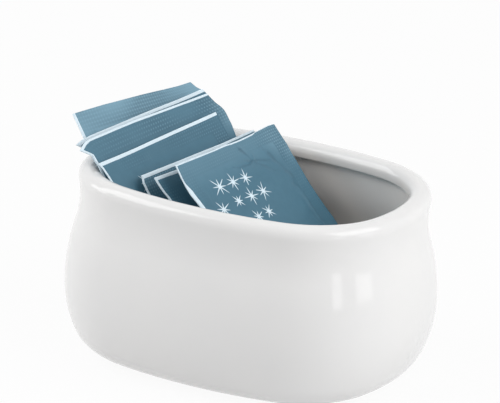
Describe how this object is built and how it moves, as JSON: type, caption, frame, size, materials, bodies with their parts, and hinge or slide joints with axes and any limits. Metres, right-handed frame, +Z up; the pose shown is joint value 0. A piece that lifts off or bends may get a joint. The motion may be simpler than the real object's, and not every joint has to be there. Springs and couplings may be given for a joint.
{
  "type": "sugar packet holder",
  "caption": "Oval glazed porcelain caddy with a rolled rim and bulged wall, holding a leaning row of crimped paper sugar packets.",
  "frame": {"origin": "centre of the foot ring on the table plane", "axes": "+X along the holder's length, to the right in the picture; +Y along its width, away from the viewer; +Z up"},
  "size_m": [0.102, 0.08, 0.0661],
  "materials": {
    "glazed_porcelain": "gloss",
    "printed_paper": "matte",
    "granulated_sugar": "matte"
  },
  "bodies": {
    "holder": {"holder": "glazed_porcelain"},
    "packet_1": {"packet_1_wrapper": "printed_paper", "packet_1_sugar": "granulated_sugar"},
    "packet_2": {"packet_2_wrapper": "printed_paper", "packet_2_sugar": "granulated_sugar"},
    "packet_3": {"packet_3_wrapper": "printed_paper", "packet_3_sugar": "granulated_sugar"},
    "packet_4": {"packet_4_wrapper": "printed_paper", "packet_4_sugar": "granulated_sugar"},
    "packet_5": {"packet_5_wrapper": "printed_paper", "packet_5_sugar": "granulated_sugar"},
    "packet_6": {"packet_6_wrapper": "printed_paper", "packet_6_sugar": "granulated_sugar"},
    "packet_7": {"packet_7_wrapper": "printed_paper", "packet_7_sugar": "granulated_sugar"}
  },
  "joints": [
    {"name": "packet_1_lift", "type": "slide", "parent": "holder", "child": "packet_1", "axis": [-0.662, 0.1347, 0.7373], "range_m": [0, 0.075]},
    {"name": "packet_2_lift", "type": "slide", "parent": "holder", "child": "packet_2", "axis": [-0.662, 0.1347, 0.7373], "range_m": [0, 0.075]},
    {"name": "packet_3_lift", "type": "slide", "parent": "holder", "child": "packet_3", "axis": [-0.662, 0.1347, 0.7373], "range_m": [0, 0.075]},
    {"name": "packet_4_lift", "type": "slide", "parent": "holder", "child": "packet_4", "axis": [-0.662, 0.1347, 0.7373], "range_m": [0, 0.075]},
    {"name": "packet_5_lift", "type": "slide", "parent": "holder", "child": "packet_5", "axis": [-0.662, 0.1347, 0.7373], "range_m": [0, 0.075]},
    {"name": "packet_6_lift", "type": "slide", "parent": "holder", "child": "packet_6", "axis": [-0.662, 0.1347, 0.7373], "range_m": [0, 0.075]},
    {"name": "packet_7_lift", "type": "slide", "parent": "holder", "child": "packet_7", "axis": [-0.662, 0.1347, 0.7373], "range_m": [0, 0.075]}
  ]
}
